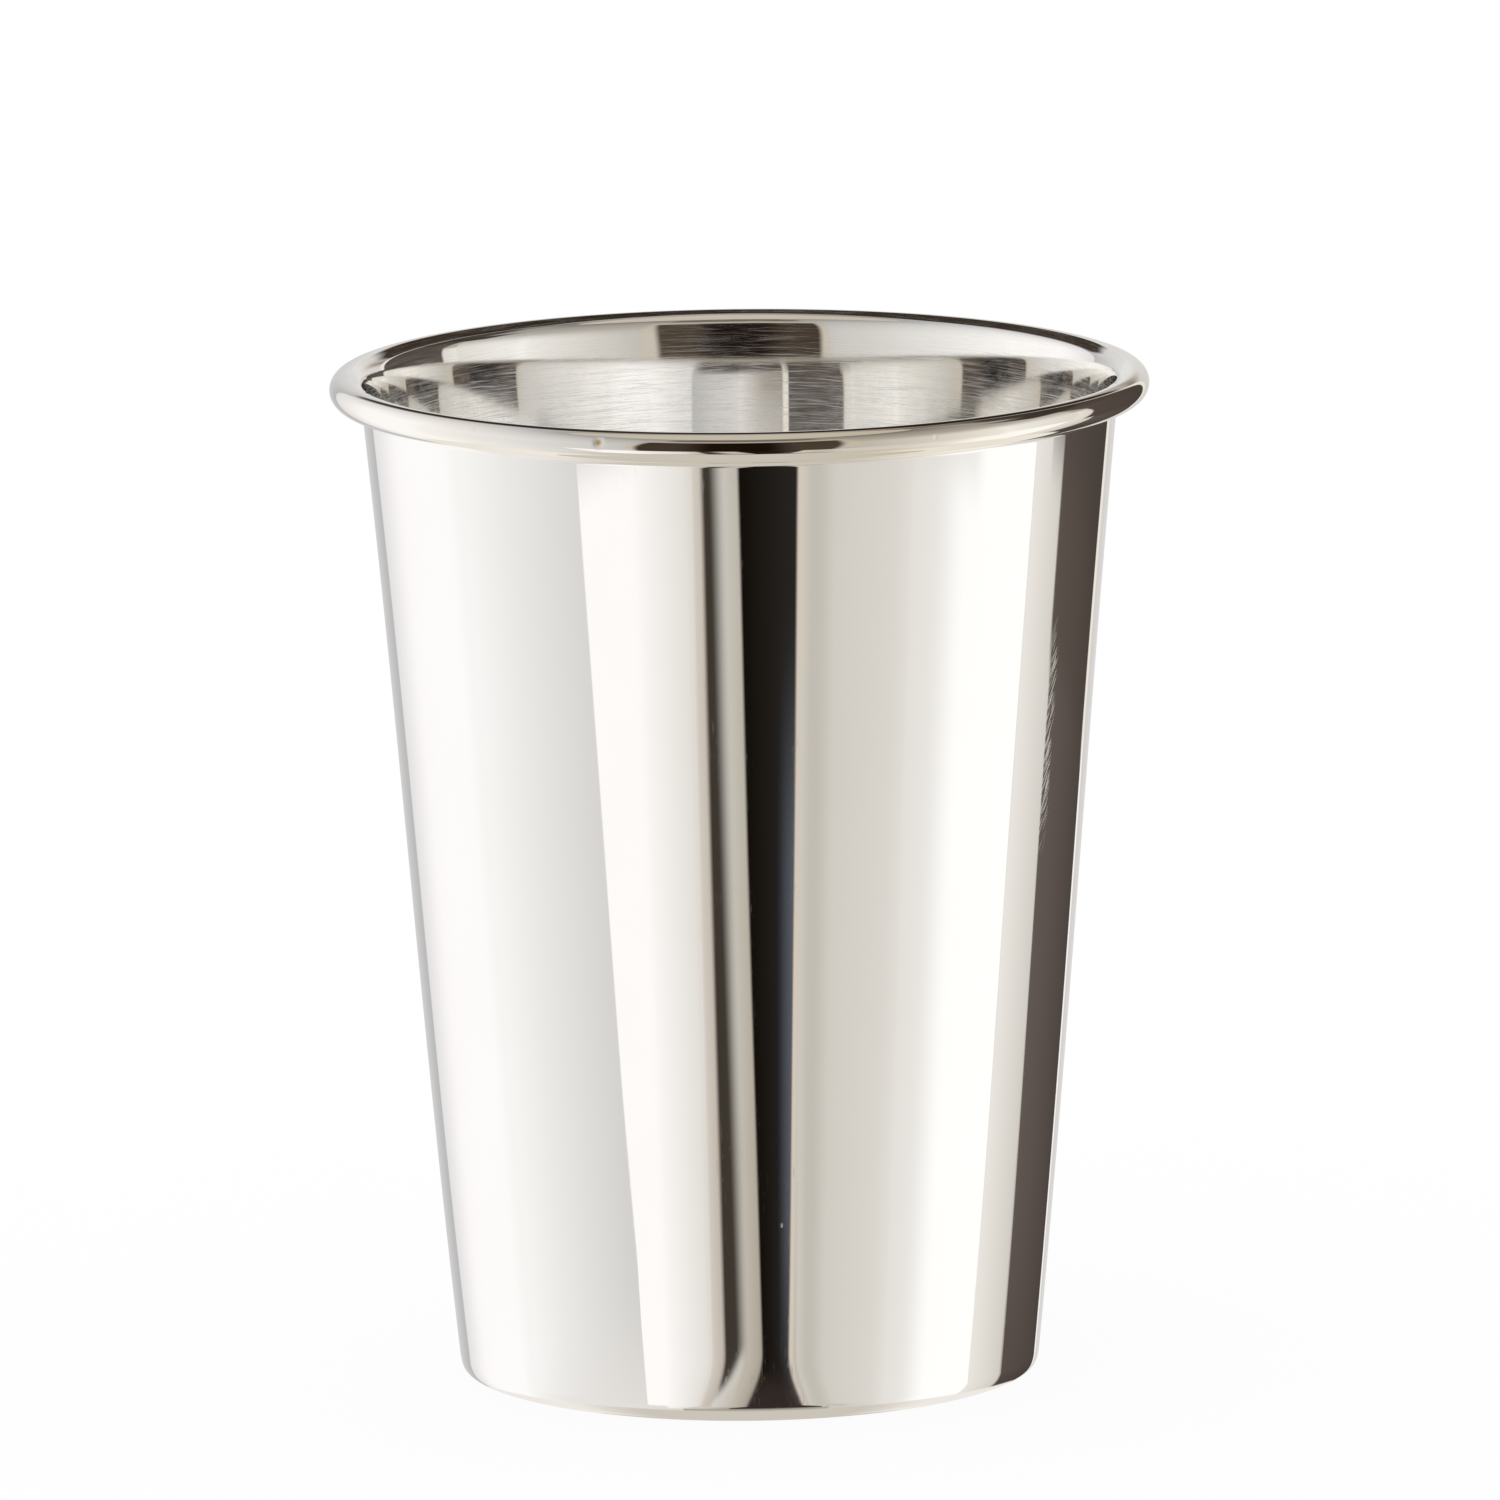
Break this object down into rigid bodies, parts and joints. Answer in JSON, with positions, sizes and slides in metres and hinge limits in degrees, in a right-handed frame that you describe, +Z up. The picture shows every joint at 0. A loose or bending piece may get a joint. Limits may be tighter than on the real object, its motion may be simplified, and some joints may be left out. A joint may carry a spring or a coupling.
{
  "type": "beaker",
  "caption": "Tapered round drinking beaker of polished silver plate, with a round bead at the rim, a softly dressed foot and a finely brushed inside, for holding a drink.",
  "frame": {"origin": "middle of the foot, on the surface that the beaker stands on", "axes": "+Z up along the beaker's own axis, out of its mouth; X and Y lie in the foot's plane, and no direction among them is special"},
  "size_m": [0.081, 0.081, 0.1],
  "materials": {
    "silver_polished": "mirror-polished silver plate with faint hairline wear",
    "silver_brushed": "polished silver plate with fine brushing lines round the inside",
    "silver_underside": "silver plate with standing wear",
    "brass_body": "spun and turned brass, hidden under the plate",
    "solder": "dressed solder, hidden under the plate"
  },
  "bodies": {
    "root": {"wall_shell": "brass_body", "base_disc": "brass_body", "rim_ring": "brass_body", "rim_solder_seam": "solder", "base_solder_ring": "solder", "underside_silver_plate": "silver_underside", "outer_silver_plate": "silver_polished", "inner_silver_plate": "silver_brushed"}
  },
  "joints": []
}
